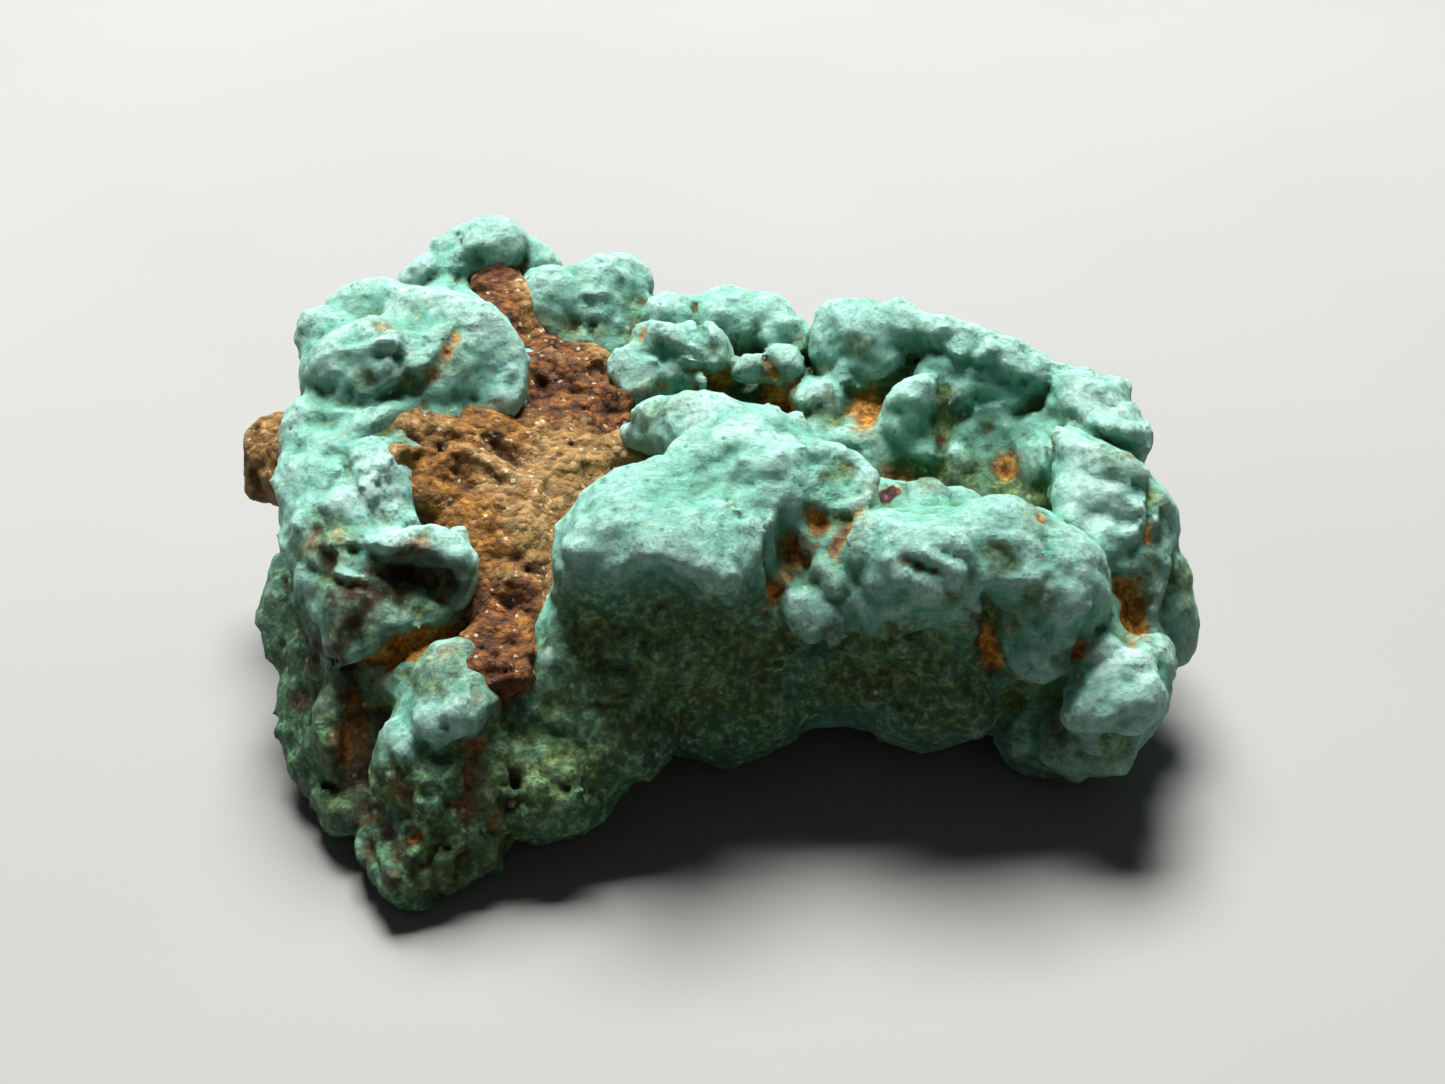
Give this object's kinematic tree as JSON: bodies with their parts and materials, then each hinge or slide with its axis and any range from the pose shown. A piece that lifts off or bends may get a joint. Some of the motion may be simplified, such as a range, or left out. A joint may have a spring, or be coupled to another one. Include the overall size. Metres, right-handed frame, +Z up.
{
  "type": "rough turquoise",
  "caption": "Rough turquoise nugget: rounded blue-green lobes round a basin of sandy brown host rock, lying on its feet.",
  "frame": {"origin": "middle of the footprint, on the surface the stone lies on", "axes": "+Z up; +X along the stone's length, from the curled lobe to the blunt end; the front, with the big smooth lobe, faces -Y"},
  "size_m": [0.0274, 0.021, 0.0105],
  "materials": {
    "turquoise": "matte, faintly waxy, with limonite stains and brown host rock"
  },
  "bodies": {
    "root": {"turquoise_nugget": "turquoise"}
  },
  "joints": []
}
